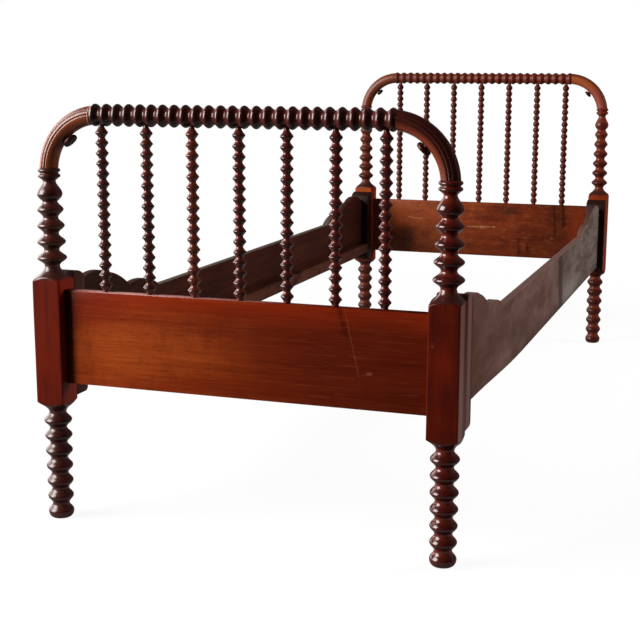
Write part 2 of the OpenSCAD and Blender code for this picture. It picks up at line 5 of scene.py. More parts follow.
import bmesh
import bpy
from mathutils import Matrix, Vector, noise
from mathutils.bvhtree import BVHTree


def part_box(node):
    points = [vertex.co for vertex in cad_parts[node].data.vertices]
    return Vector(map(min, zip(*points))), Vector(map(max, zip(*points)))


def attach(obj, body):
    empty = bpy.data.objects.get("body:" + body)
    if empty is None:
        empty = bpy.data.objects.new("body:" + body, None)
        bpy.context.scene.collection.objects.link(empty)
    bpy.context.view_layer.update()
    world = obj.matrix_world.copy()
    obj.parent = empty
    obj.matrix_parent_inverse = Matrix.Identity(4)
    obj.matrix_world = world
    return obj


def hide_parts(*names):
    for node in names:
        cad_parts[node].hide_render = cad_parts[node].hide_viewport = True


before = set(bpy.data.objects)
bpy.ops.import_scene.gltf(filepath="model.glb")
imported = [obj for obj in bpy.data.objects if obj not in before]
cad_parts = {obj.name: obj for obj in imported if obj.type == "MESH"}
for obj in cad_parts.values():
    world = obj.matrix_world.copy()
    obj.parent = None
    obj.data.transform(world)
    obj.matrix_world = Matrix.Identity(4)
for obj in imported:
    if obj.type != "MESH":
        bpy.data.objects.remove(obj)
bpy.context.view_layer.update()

# ---- The four posts ----
# Each post is one stick of hardwood, turned above and below a square block, stained red-brown and varnished.
# The lathe took the block's ends to shoulders, and years of use have rounded its arrises unevenly.

BLOCK_HALF = 0.02785
BLOCK_FACE = (0.0265, 0.0275)
SHOULDER_LOW = 0.457
SHOULDER_HIGH = 0.468
ARRIS = 0.0013
ARRIS_WEAR = 0.0016
SHOULDER_BLEND = 0.0022
TURNING_STEP = 0.0009
BLOCK_STEP = 0.007
CORNER_ANGLES = (0, 1.5, 3.5, 6.5, 11, 18, 27, 36, 45)
END_INSET = 0.00005
POST_ACROSS = 0.374
END_ALONG = 0.979
NECK_BROWN = (0.062, 0.0190, 0.0140)
NECK_RED = (0.120, 0.0150, 0.0070)
POST_TOP = {"foot": 0.665, "head": 0.725}
COLLAR_RUN = 0.026
COLLAR_ROUND = 0.0009
CRIMSON = (0.042, 0.0040, 0.0032)
BLOCK_RED = (0.098, 0.0080, 0.0022)
BLOCK_DARK = (0.045, 0.0045, 0.0020)
FADED = (0.125, 0.0215, 0.0085)
DEEP = (0.020, 0.0042, 0.0030)
WARM = (0.052, 0.0105, 0.0060)


class Value:
    """A socket in a finish, so that the sums on it read as sums."""

    def __init__(self, finish, socket):
        self.finish = finish
        self.socket = socket

    def math(self, operation, *values):
        sockets = dict(enumerate(values))
        return self.finish.add("ShaderNodeMath", {"operation": operation}, sockets)

    def __add__(self, other):
        return self.math("ADD", self, other)

    def __sub__(self, other):
        return self.math("SUBTRACT", self, other)

    def __rsub__(self, other):
        return self.math("SUBTRACT", other, self)

    def __mul__(self, other):
        return self.math("MULTIPLY", self, other)

    def __pow__(self, other):
        return self.math("POWER", self, other)

    def __abs__(self):
        return self.math("ABSOLUTE", self)

    __radd__ = __add__
    __rmul__ = __mul__


class Finish:
    """One finish, with the wood's own coordinates in metres ready to use."""

    def __init__(self, name):
        self.material = bpy.data.materials.new(name)
        self.material.use_nodes = True
        self.tree = self.material.node_tree
        self.tree.nodes.clear()
        self.place = self.add("ShaderNodeTexCoord", out="Object")
        self.x, self.y, self.z = (
            self.add("ShaderNodeSeparateXYZ", {}, {0: self.place}, out=axis) for axis in "XYZ"
        )

    def add(self, kind, settings=None, sockets=None, out=0):
        """Adds one node: its settings first, then the values or links of its sockets."""
        node = self.tree.nodes.new(kind)
        for name, value in (settings or {}).items():
            setattr(node, name, value)
        for name, value in (sockets or {}).items():
            if isinstance(value, Value):
                self.tree.links.new(value.socket, node.inputs[name])
            else:
                node.inputs[name].default_value = value
        return Value(self, node.outputs[out])

    def facing_up(self):
        """1 where the surface lies flat and faces up."""
        normal = self.add("ShaderNodeNewGeometry", out="Normal")
        return self.step(self.add("ShaderNodeSeparateXYZ", {}, {0: normal}, out="Z"), 0.5, 0.85)

    def noise(self, stretch, detail=3, rough=0.55, offset=0, warp=0):
        """Cloudy values around 0.5; stretch is the blotches per metre along x, y and z."""
        where = self.add(
            "ShaderNodeMapping",
            {"vector_type": "POINT"},
            {"Vector": self.place, "Scale": stretch, "Location": (offset, offset, offset)},
        )
        sockets = {"Vector": where, "Scale": 1, "Detail": detail, "Roughness": rough, "Distortion": warp}
        return self.add("ShaderNodeTexNoise", {}, sockets)

    def step(self, value, low, high):
        """0 below low, 1 above high, smooth between."""
        settings = {"interpolation_type": "SMOOTHSTEP"}
        return self.add("ShaderNodeMapRange", settings, {0: value, 1: low, 2: high})

    def mix(self, share, first, second):
        """Colour first turns into second by share."""
        first, second = (c if isinstance(c, Value) else (*c, 1) for c in (first, second))
        return self.add("ShaderNodeMix", {"data_type": "RGBA"}, {0: share, 6: first, 7: second}, out=2)

    def away(self, *gaps):
        """The straight distance that gaps along the axes add up to."""
        return sum(gap * gap for gap in gaps) ** 0.5

    def spot(self, across, up, middle, radii, soft=0.6):
        """1 in the middle of an oval mark, fading to 0 at its rim."""
        gone = self.away((across - middle[0]) * (1 / radii[0]), (up - middle[1]) * (1 / radii[1]))
        return self.step(gone, 1, 1 - soft)

    def streak(self, across, up, start, end, width, soft=0.8, ragged=0.0):
        """1 along a straight scratch or stain from start to end, fading to 0 at its sides."""
        run = (end[0] - start[0], end[1] - start[1])
        whole = run[0] ** 2 + run[1] ** 2
        share = ((across - start[0]) * run[0] + (up - start[1]) * run[1]) * (1 / whole)
        share = self.add("ShaderNodeClamp", {}, {0: share})
        gone = self.away(across - start[0] - share * run[0], up - start[1] - share * run[1])
        if ragged:
            gone = gone + ragged * width * (self.noise((90, 90, 260), detail=3, rough=0.7) - 0.35)
        return self.step(gone, width, width * (1 - soft))

    def bump(self, height, distance, strength=1.0):
        return self.add("ShaderNodeBump", {}, {"Height": height, "Distance": distance, "Strength": strength})

    def surface(self, **sockets):
        """The finished surface; underscores in a socket's name stand for spaces."""
        named = {name.replace("_", " "): value for name, value in sockets.items()}
        self.add_output(self.add("ShaderNodeBsdfPrincipled", {}, named))
        return self.material

    def add_output(self, shader):
        output = self.tree.nodes.new("ShaderNodeOutputMaterial")
        self.tree.links.new(shader.socket, output.inputs["Surface"])


def turned_wood(name, grain, from_axis=None, neck=0, rim=0, deep=DEEP, warm=WARM, faded=0.0):
    """Stained, varnished turning; grain is the stretch of its figure along x, y and z."""
    wood = Finish(name)
    figure = wood.noise(grain, detail=5, rough=0.6, warp=0.4)
    cloud = wood.noise((9, 9, 9), detail=2)
    stain = wood.mix(wood.step(0.55 * figure + 0.45 * cloud, 0.36, 0.66), deep, warm)
    stain = wood.mix(0.75 * wood.step(wood.x, -0.25, 0.33), stain, CRIMSON)
    thin = 1.0
    if from_axis:
        thin = wood.step(from_axis(wood), rim, neck)
        neck_stain = wood.mix(wood.step(wood.x, -0.36, -0.02), NECK_BROWN, NECK_RED)
        stain = wood.mix(thin * (0.35 + 0.6 * cloud), stain, neck_stain)
    if faded:
        stain = wood.mix(faded * (0.15 + 0.85 * thin), stain, FADED)
    wood.stain, wood.figure, wood.cloud = stain, figure, cloud
    return wood


def varnish(wood, coat=0.85, rough=0.16, even=0.15):
    """Varnish over a stained piece: coat is how much of it is left, rough its dullness."""
    height = wood.noise((90, 90, 90), detail=3) * 0.6 + wood.figure * 0.4
    return wood.surface(
        Base_Color=wood.stain,
        Roughness=0.38 + 0.2 * wood.cloud,
        Specular_IOR_Level=0.0,
        Coat_Weight=coat - 0.12 * wood.cloud,
        Coat_Roughness=rough,
        Normal=wood.bump(height, 0.0002, even),
    )


def place_piece(name, mesh, material, body, slot, *nodes):
    """Puts a finished mesh in the scene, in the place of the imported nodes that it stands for."""
    mesh.materials.append(material)
    piece = bpy.data.objects.new(name, mesh)
    bpy.context.scene.collection.objects.link(piece)
    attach(piece, body)
    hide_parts(*nodes)


def corner_reach(node, heights):
    """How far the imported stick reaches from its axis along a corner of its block, at each height."""
    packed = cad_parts[node].data
    solid = BVHTree.FromPolygons([v.co for v in packed.vertices], [f.vertices for f in packed.polygons])
    low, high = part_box(node)
    middle = (low + high) / 2
    outward = Vector((math.copysign(1, middle.x), math.copysign(1, middle.y), 0)).normalized()
    far = high.x - low.x
    reaches = []
    for height in heights:
        centre = Vector((middle.x, middle.y, height))
        hit = solid.ray_cast(centre + outward * far, -outward, far)[0]
        reaches.append((hit - centre).length)
    return reaches


def square_reach(angle, half, corner):
    """How far a square with rounded corners reaches from its middle at an angle."""
    across, along = sorted((abs(math.cos(angle)), abs(math.sin(angle))))
    if across / along * half <= half - corner:
        return half / along
    inner = (half - corner) * (along + across)
    return inner + math.sqrt(inner**2 - 2 * (half - corner) ** 2 + corner**2)


def softer_least(first, second, blend):
    """The smaller of two lengths, with the change from one to the other rounded over."""
    near = max(blend - abs(first - second), 0) / blend
    return min(first, second) - near * near * blend / 4


def collar_rounded(heights, reaches, top):
    """The two thin collars under the elbow, as full and round as they are on the real posts."""
    reach = round(COLLAR_ROUND / TURNING_STEP)
    near = [k for k, height in enumerate(heights) if top - COLLAR_RUN < height < top - COLLAR_ROUND]
    fuller = {k: max(reaches[k - reach:k + reach + 1]) for k in near}
    rounded = list(reaches)
    for k in near:
        around = [fuller.get(n, reaches[n]) for n in range(k - reach, k + reach + 1)]
        rounded[k] = sum(around) / len(around)
    return rounded


def post_mesh(node):
    """A post as rings of points up its axis: round where it is turned, and a worn square at its block."""
    low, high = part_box(node)
    middle = (low + high) / 2
    count = round((high.z - low.z - 2 * END_INSET) / TURNING_STEP)
    every = [low.z + END_INSET + (high.z - low.z - 2 * END_INSET) * k / count for k in range(count + 1)]
    levels = []
    reaches = collar_rounded(every, corner_reach(node, every), POST_TOP[node[:4]])
    for height, reach in zip(every, reaches):
        square = reach > BLOCK_HALF * math.sqrt(2)
        if not (square and levels and levels[-1][2] and height - levels[-1][0] < BLOCK_STEP):
            levels.append((height, reach, square))
    offsets = sorted({s * a for a in CORNER_ANGLES for s in (-1, 1)} - {45})
    angles = [math.radians(45 + 90 * quarter + a) for quarter in range(4) for a in offsets]
    made = bmesh.new()
    rings = []
    for height, reach, _ in levels:
        seed = Vector((middle.x * 9, middle.y * 9, height * 14))
        wear_and_sheen = ARRIS + ARRIS_WEAR * max(0, 0.5 + noise.noise(seed))
        ring = []
        for angle in angles:
            out = softer_least(reach, square_reach(angle, BLOCK_HALF, wear_and_sheen), SHOULDER_BLEND)
            spot = (middle.x + out * math.cos(angle), middle.y + out * math.sin(angle), height)
            ring.append(made.verts.new(spot))
        rings.append(ring)
    around = len(angles)
    for lower, upper in zip(rings, rings[1:]):
        for k in range(around):
            n = (k + 1) % around
            made.faces.new((lower[k], lower[n], upper[n], upper[k]))
    made.faces.new(reversed(rings[0]))
    made.faces.new(rings[-1])
    mesh = bpy.data.meshes.new(node)
    made.to_mesh(mesh)
    made.free()
    mesh.shade_smooth()
    return mesh


def post_wood(end, side):
    """A post's finish: its block is redder than its turnings, and its outer face is painted greyer as a
    painted sheen.
    """
    at_head = end == "head"
    wood = turned_wood(
        f"{end}_{side}_post_wood",
        UPRIGHT,
        lambda wood: wood.away(abs(wood.x) - POST_ACROSS, abs(wood.y) - END_ALONG),
        neck=0.014,
        rim=0.022,
        faded=0.75 if at_head else 0.0,
    )
    wood.square = wood.step(wood.z, 0.222, 0.232) * wood.step(wood.z, SHOULDER_HIGH, SHOULDER_LOW)
    shoulder = wood.step(wood.z, SHOULDER_LOW, SHOULDER_HIGH) * wood.step(wood.z, 0.488, 0.476)
    wood.stain = wood.mix(0.6 * shoulder, wood.stain, (0.030, 0.0110, 0.0090))
    tone = wood.step(0.5 * wood.figure + 0.5 * wood.cloud - 0.12 * wood.x, 0.36, 0.66)
    block = wood.mix(tone, BLOCK_DARK, BLOCK_RED)
    if at_head:
        block = wood.mix(0.6, block, (0.235, 0.0345, 0.0088))
        # A painted pool of light: the front face of each head block is painted orange just above the side
        # rail, where light falls on it.
        lit_patch = wood.step(wood.y, 0.9530, 0.9515) * wood.step(wood.z, 0.425, 0.445)
        lit_patch = lit_patch * wood.step(wood.x, 0.385, 0.360)
        lit_patch_colour = (0.300, 0.0700, 0.0180) if side == "left" else (0.240, 0.0360, 0.0130)
        block = wood.mix(0.6 * lit_patch, block, lit_patch_colour)
    else:
        # The foot blocks' inner faces are painted lighter and redder, a painted fill light on faces that
        # stand in shade.
        inner = wood.step(abs(wood.x), POST_ACROSS - BLOCK_FACE[0], POST_ACROSS - BLOCK_FACE[1])
        block = wood.mix(0.7 * inner, block, (0.200, 0.0150, 0.0056))
    # The outer face is painted greyer, a painted sheen of the pale room at the side: paler at the foot, a
    # duller red at the head.
    outer_sheen = wood.step(abs(wood.x), POST_ACROSS + BLOCK_FACE[0], POST_ACROSS + BLOCK_FACE[1])
    outer_sheen = outer_sheen * wood.step(abs(wood.y), END_ALONG - 0.010, END_ALONG + 0.002)
    block = wood.mix(0.7 * outer_sheen, block, (0.075, 0.0210, 0.0120) if at_head else (0.170, 0.0800, 0.0620))
    stopped_hole = wood.spot(wood.x, wood.z, (0.3555, 0.392), (0.0026, 0.0026))
    stopped_hole = stopped_hole * wood.step(wood.y, -1.0, -1.005)
    block = wood.mix(0.8 * stopped_hole, block, (0.45, 0.38, 0.33))
    wood.stain = wood.mix(wood.square, wood.stain, block)
    return wood


UPRIGHT = (70, 70, 5)
for end, side, coat, dullness in (
    ("foot", "left", 0.95, 0.25),
    ("foot", "right", 0.95, 0.17),
    ("head", "left", 0.55, 0.38),
    ("head", "right", 0.55, 0.34),
):
    node = f"{end}_{side}_post"
    post_finish = post_wood(end, side)
    upright = varnish(post_finish, coat - 0.55 * post_finish.square, dullness)
    place_piece(f"{node}_turned", post_mesh(node), upright, "bed_ends", "turned_wood", node)

# ---- The panels ----
# A wide board closes the foot of each end under the spindles, tenoned into the posts' blocks.
# It is planed and varnished like the rest, with softened arrises.

PANEL_ARRIS = 0.0018
PANEL_MIDDLE = 0.002
LONG_RUN = 0.03
HARD_TURN = math.radians(35)
CURVE_CUTS = 4
TENON_SHOULDER = 0.016
TENON_THICK = 0.012
JOIN_LAP = 0.004


def face_outline(node, axis, side):
    """The rim of a packed board's flat face on one side of an axis, as points in order."""
    solid = bmesh.new()
    solid.from_mesh(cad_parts[node].data)
    bmesh.ops.remove_doubles(solid, verts=solid.verts, dist=1e-6)
    solid.normal_update()
    level = max(side * v.co[axis] for v in solid.verts) - 1e-5
    flat = [f for f in solid.faces if side * f.normal[axis] > 0.99 and side * f.verts[0].co[axis] > level]
    shared = {}
    for face in flat:
        for edge in face.edges:
            shared[edge] = shared.get(edge, 0) + 1
    beside = {}
    for edge, uses in shared.items():
        if uses == 1:
            for one, other in (edge.verts, reversed(edge.verts)):
                beside.setdefault(one, []).append(other)
    loops = []
    while beside:
        spot = next(iter(beside))
        loop = []
        while spot is not None:
            loop.append(Vector([c for k, c in enumerate(spot.co) if k != axis]))
            ways = [v for v in beside.pop(spot) if v in beside]
            spot = ways[0] if ways else None
        loops.append(loop)
    solid.free()
    return max(loops, key=lambda loop: max(p.x for p in loop) - min(p.x for p in loop))


def eased(outline):
    """The outline with its sawn curves smooth, and its long straight runs and hard corners kept."""
    count = len(outline)
    runs = [outline[(k + 1) % count] - outline[k] for k in range(count)]
    ways = [run.normalized() for run in runs]

    def lean(first, second, own):
        """The way the curve runs through the corner between two runs."""
        if runs[first].length > LONG_RUN:
            return ways[first]
        if runs[second].length > LONG_RUN:
            return ways[second]
        if ways[first].angle(ways[second]) > HARD_TURN:
            return ways[own]
        return (ways[first] * runs[second].length + ways[second] * runs[first].length).normalized()

    smooth = []
    for k in range(count):
        before, after = (k - 1) % count, (k + 1) % count
        smooth.append(outline[k])
        if runs[k].length > LONG_RUN:
            continue
        leave = lean(before, k, k) * runs[k].length
        arrive = lean(k, after, k) * runs[k].length
        for cut in range(1, CURVE_CUTS):
            t = cut / CURVE_CUTS
            smooth.append(
                outline[k] * (2 * t**3 - 3 * t**2 + 1)
                + leave * (t**3 - 2 * t**2 + t)
                + outline[after] * (3 * t**2 - 2 * t**3)
                + arrive * (t**3 - t**2)
            )
    return smooth


def rounded_board(name, outline, axis, low, high, arris):
    """A board of any outline between two levels of an axis, with its arrises rounded."""
    curve = bpy.data.curves.new(name, "CURVE")
    curve.dimensions = "2D"
    curve.fill_mode = "BOTH"
    curve.extrude = (high - low) / 2 - arris
    curve.bevel_depth = arris
    curve.bevel_resolution = 2
    curve.offset = -arris
    spline = curve.splines.new("POLY")
    spline.points.add(len(outline) - 1)
    for point, (u, v) in zip(spline.points, outline):
        point.co = (u, v, 0, 1)
    spline.use_cyclic_u = True
    maker = bpy.data.objects.new(name, curve)
    bpy.context.scene.collection.objects.link(maker)
    mesh = bpy.data.meshes.new_from_object(maker.evaluated_get(bpy.context.evaluated_depsgraph_get()))
    bpy.data.objects.remove(maker)
    level = (low + high) / 2
    columns = {0: ((0, 1, 0), (0, 0, 1), (1, 0, 0)), 1: ((1, 0, 0), (0, 0, 1), (0, -1, 0))}[axis]
    turn = Matrix(columns).transposed().to_4x4()
    turn.translation[axis] = level
    mesh.transform(turn)
    solid = bmesh.new()
    solid.from_mesh(mesh)
    bmesh.ops.remove_doubles(solid, verts=solid.verts, dist=1e-6)
    bmesh.ops.recalc_face_normals(solid, faces=solid.faces)
    solid.to_mesh(mesh)
    solid.free()
    mesh.name = name
    mesh.shade_smooth()
    return mesh


def box_into(mesh, low, high):
    """Adds a plain block to a mesh, such as a tenon that sits out of sight."""
    solid = bmesh.new()
    solid.from_mesh(mesh)
    size = Vector(high) - Vector(low)
    where = Matrix.Translation((Vector(low) + Vector(high)) / 2) @ Matrix.Diagonal((*size, 1))
    bmesh.ops.create_cube(solid, size=1, matrix=where)
    solid.to_mesh(mesh)
    solid.free()


def board_wood(name, grain, dark, light):
    """Plain sawn and planed wood, with its grain along the smallest number of grain."""
    wood = Finish(name)
    wood.figure = wood.noise(grain, detail=6, rough=0.62, warp=0.5)
    wood.cloud = wood.noise((5, 5, 9), detail=3)
    wood.stain = wood.mix(wood.step(0.55 * wood.figure + 0.45 * wood.cloud, 0.34, 0.68), dark, light)
    return wood


def foot_panel_finish():
    wood = board_wood("foot_panel_wood", (3, 60, 75), (0.140, 0.0150, 0.0022), (0.225, 0.0360, 0.0058))
    x, z = wood.x, wood.z
    front = wood.step(wood.y, PANEL_MIDDLE - END_ALONG, -PANEL_MIDDLE - END_ALONG)
    fine = wood.noise((14, 200, 420), detail=3, rough=0.7)
    streaky = wood.step(wood.figure + 0.4 * fine, 0.5, 0.9)
    ruddy = wood.mix(streaky, (0.060, 0.0050, 0.0013), (0.095, 0.0105, 0.0028))
    right = wood.step(x + 0.35 * wood.cloud + 0.5 * z, -0.05, 0.62)
    stain = wood.mix(right, wood.stain, ruddy)
    # A painted pool of light, brightest left of the middle of the board.
    glow = wood.spot(x + 0.1 * wood.cloud, z, (-0.14, 0.340), (0.28, 0.072), soft=0.9)
    stain = wood.mix(0.50 * glow * (0.4 + wood.figure), stain, (0.300, 0.0600, 0.0100))
    smudge = wood.noise((18, 18, 9), detail=4, rough=0.65, offset=7)
    stain = wood.mix(0.50 * wood.step(smudge, 0.46, 0.70), stain, (0.080, 0.0100, 0.0030))
    fleck = wood.noise((45, 60, 330), detail=4, rough=0.75, offset=4)
    stain = wood.mix(0.40 * wood.step(fleck, 0.53, 0.66), stain, (0.050, 0.0080, 0.0028))
    dusk = wood.spot(x, z + 0.1 * wood.cloud, (0.150, 0.405), (0.09, 0.060), soft=0.9)
    stain = wood.mix(0.5 * dusk, stain, (0.060, 0.0070, 0.0022))
    top = wood.step(z + 0.05 * wood.cloud, 0.425, 0.475)
    stain = wood.mix(0.75 * top, stain, (0.190, 0.0160, 0.0036))
    corner = wood.spot(x, z + 0.1 * wood.cloud, (-0.300, 0.475), (0.100, 0.070), soft=0.9)
    stain = wood.mix(0.65 * corner, stain, (0.105, 0.0070, 0.0020))
    shade = wood.step(x, -0.318, -0.345)
    stain = wood.mix(0.80 * shade, stain, (0.020, 0.0030, 0.0020))
    for start, end, width, share, colour in FOOT_MARKS:
        stain = wood.mix(share * front * wood.streak(x, z, start, end, width, ragged=2.0), stain, colour)
    nick = front * wood.spot(x, z, (0.241, 0.331), (0.008, 0.004))
    stain = wood.mix(0.28 * nick, stain, (0.30, 0.12, 0.06))
    stain = wood.mix(wood.step(fine, 0.50, 0.68) * 0.22, stain, (0.055, 0.0070, 0.0024))
    stain = wood.mix(wood.step(fine, 0.46, 0.34) * 0.12, stain, (0.330, 0.0820, 0.0200))
    # A painted reflection: the upward faces along the left of the board's top are painted pale pink.
    top_edge_reflection = wood.facing_up() * wood.step(x + 0.3 * wood.cloud, 0.35, -0.10)
    wood.stain = wood.mix(0.8 * top_edge_reflection, stain, (0.330, 0.1850, 0.1650))
    return varnish(wood, 0.42, 0.14, even=0.1)


def head_panel_finish():
    wood = board_wood("head_panel_wood", (4, 60, 55), (0.080, 0.0112, 0.0030), (0.190, 0.0340, 0.0092))
    x, z = wood.x, wood.z
    front = wood.step(wood.y, END_ALONG + PANEL_MIDDLE, END_ALONG - PANEL_MIDDLE)
    blotch = wood.noise((16, 16, 26), detail=4, rough=0.7, offset=3)
    stain = wood.mix(0.50 * wood.step(blotch + 0.25 * x, 0.44, 0.72), wood.stain, (0.050, 0.0100, 0.0055))
    stain = wood.mix(0.50 * wood.step(x + 0.2 * blotch, 0.20, -0.20), stain, (0.330, 0.0820, 0.0270))
    stain = wood.mix(0.42 * wood.step(x, 0.05, 0.30), stain, (0.045, 0.0100, 0.0052))
    orange = wood.step(x + 0.1 * blotch, 0.32, 0.36)
    stain = wood.mix(0.45 * orange, stain, (0.210, 0.0300, 0.0080))
    for middle, radii, share in HEAD_STAINS:
        share = share * front * wood.spot(x + 0.03 * blotch, z + 0.02 * blotch, middle, radii, soft=0.9)
        stain = wood.mix(share, stain, (0.020, 0.0080, 0.0065))
    mottle = wood.noise((50, 50, 110), detail=4, rough=0.75, offset=6)
    stain = wood.mix(0.35 * wood.step(mottle, 0.50, 0.66), stain, (0.040, 0.0100, 0.0050))
    stain = wood.mix(0.20 * wood.step(mottle, 0.46, 0.32), stain, (0.340, 0.1300, 0.0450))
    for start, end, width, share, colour in HEAD_MARKS:
        stain = wood.mix(share * front * wood.streak(x, z, start, end, width, ragged=2.2), stain, colour)
    wood.stain = stain
    return varnish(wood, 0.22, 0.26)


PALE_SCRATCH = (0.22, 0.085, 0.045)
DARK_LINE = (0.012, 0.003, 0.002)
FOOT_MARKS = (
    ((0.186, 0.443), (0.198, 0.395), 0.013, 0.55, DARK_LINE),
    ((0.196, 0.438), (0.222, 0.326), 0.0026, 0.26, PALE_SCRATCH),
    ((0.222, 0.326), (0.243, 0.330), 0.0024, 0.16, PALE_SCRATCH),
    ((0.298, 0.299), (0.330, 0.300), 0.0022, 0.18, PALE_SCRATCH),
    ((0.273, 0.376), (0.276, 0.304), 0.0016, 0.22, DARK_LINE),
    ((0.290, 0.376), (0.293, 0.306), 0.0016, 0.22, DARK_LINE),
    ((0.342, 0.413), (0.343, 0.319), 0.0040, 0.70, DARK_LINE),
)
HEAD_MARKS = (
    ((-0.035, 0.349), (0.055, 0.350), 0.0052, 0.70, (0.36, 0.17, 0.07)),
    ((0.000, 0.347), (0.022, 0.346), 0.0075, 0.45, (0.36, 0.18, 0.08)),
    ((-0.226, 0.371), (-0.183, 0.368), 0.0048, 0.65, (0.40, 0.17, 0.08)),
    ((0.268, 0.436), (0.272, 0.355), 0.0085, 0.80, DARK_LINE),
    ((0.240, 0.430), (0.246, 0.330), 0.0140, 0.50, DARK_LINE),
    ((0.132, 0.312), (0.135, 0.272), 0.0130, 0.65, DARK_LINE),
    ((0.160, 0.300), (0.164, 0.276), 0.0130, 0.60, DARK_LINE),
    ((0.148, 0.304), (0.151, 0.276), 0.0050, 0.30, PALE_SCRATCH),
)
HEAD_STAINS = (
    ((-0.220, 0.315), (0.055, 0.060), 0.75),
    ((0.120, 0.415), (0.060, 0.026), 0.60),
    ((0.265, 0.400), (0.055, 0.060), 0.45),
    ((-0.150, 0.330), (0.030, 0.020), 0.35),
)
panel_finishes = {"foot": foot_panel_finish(), "head": head_panel_finish()}
for end, facing in (("foot", -1), ("head", 1)):
    node = f"{end}_panel"
    low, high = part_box(node)
    rim = face_outline(node, 1, facing)
    mesh = rounded_board(node, rim, 1, low.y, high.y, PANEL_ARRIS)
    middle_y = (low.y + high.y) / 2
    inside = max(p.x for p in rim)
    for hand in (-1, 1):
        reach = sorted((hand * high.x, hand * (inside - JOIN_LAP)))
        box_into(
            mesh,
            (reach[0], middle_y - TENON_THICK / 2, low.z + TENON_SHOULDER),
            (reach[1], middle_y + TENON_THICK / 2, high.z - TENON_SHOULDER),
        )
    place_piece(f"{end}_panel_board", mesh, panel_finishes[end], "bed_ends", "panel_wood", node)

# ---- The panel pegs ----
# Two wooden pegs in each post pin the tenon of the panel, driven in from the show face.
# They are cut off flush there, so that only their dark ends show.


def dress(node, material):
    """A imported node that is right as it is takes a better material."""
    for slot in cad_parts[node].material_slots:
        slot.material = material


peg_wood = board_wood("peg_wood_end", (90, 3, 90), (0.040, 0.0045, 0.0020), (0.100, 0.0100, 0.0030))
peg = varnish(peg_wood)
for end in ("foot", "head"):
    dress(f"{end}_panel_pegs", peg)

# ---- The spindles ----
# Seven bobbins of the same stained wood stand between the panel and the top rail of each end.
# Each is turned in one piece, and its two round ends are pushed into bored holes.

SPINDLES = 7
SPINDLE_PITCH = 0.088
RING_STEP = 0.0011
RIM_EASE = 0.0011
SHOULDER_LEAST = 0.003


def turned_mesh(node, axis, step, around, ease):
    """A packed turning, with its profile followed finely and its sharp rims eased as sanding leaves them."""
    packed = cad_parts[node].data
    solid = BVHTree.FromPolygons([v.co for v in packed.vertices], [f.vertices for f in packed.polygons])
    low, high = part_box(node)
    middle = (low + high) / 2
    side = Vector((0, 0, 1)) if axis == 0 else Vector((1, 0, 0))
    far = max(high.y - low.y, 0.01)
    span = high[axis] - low[axis] - 2 * END_INSET
    count = round(span / step)
    centres, reaches = [], []
    for k in range(count + 1):
        centre = middle.copy()
        centre[axis] = low[axis] + END_INSET + span * k / count
        hit = solid.ray_cast(centre + side * far, -side, far)[0]
        reaches.append((hit - centre).length if hit else reaches[-1])
        centres.append(centre)
    width = round(ease / step)
    made = bmesh.new()
    rings = []
    for k, centre in enumerate(centres):
        near = [r for r in reaches[max(k - width, 0):k + width + 1] if abs(r - reaches[k]) < SHOULDER_LEAST]
        out = min(sum(near) / len(near), reaches[k] + step / 2)
        ring = []
        for n in range(around):
            angle = 2 * math.pi * n / around
            spot = centre + out * math.cos(angle) * side
            spot += out * math.sin(angle) * Vector((0, 1, 0))
            ring.append(made.verts.new(spot))
        rings.append(ring)
    for lower, upper in zip(rings, rings[1:]):
        for n in range(around):
            m = (n + 1) % around
            made.faces.new((lower[n], lower[m], upper[m], upper[n]))
    made.faces.new(rings[0])
    made.faces.new(rings[-1])
    return finished(made, node)


def finished(made, name):
    """A smooth mesh from what was built, with its real corners kept sharp."""
    bmesh.ops.recalc_face_normals(made, faces=made.faces)
    mesh = bpy.data.meshes.new(name)
    made.to_mesh(mesh)
    made.free()
    mesh.shade_smooth()
    mesh.set_sharp_from_angle(angle=math.radians(60))
    return mesh


for end, faded, coat, dullness in (("foot", 0.0, 1.0, 0.24), ("head", 0.60, 0.65, 0.38)):
    spindle_wood = turned_wood(
        f"{end}_spindle_wood",
        UPRIGHT,
        lambda wood: wood.away(wood.x.math("PINGPONG", wood.x, SPINDLE_PITCH / 2), abs(wood.y) - END_ALONG),
        neck=0.0055,
        rim=0.0105,
        faded=faded,
    )
    if end == "foot":
        third = spindle_wood.step(abs(spindle_wood.x + SPINDLE_PITCH), 0.030, 0.020)
        spindle_wood.stain = spindle_wood.mix(0.3 * third, spindle_wood.stain, (0.150, 0.0300, 0.0080))
    spindle = varnish(spindle_wood, coat, dullness)
    for number in range(1, SPINDLES + 1):
        node = f"{end}_spindle_{number}"
        mesh = turned_mesh(node, 2, RING_STEP, 20, RIM_EASE)
        place_piece(f"{node}_turned", mesh, spindle, "bed_ends", "turned_wood", node)

# ---- The top rails ----
# Each end is closed by a rail turned into 26 sharp rings from one stick of the same wood.
# Tenons at its ends are glued into the elbows, and the spindles' tops into holes along its underside.

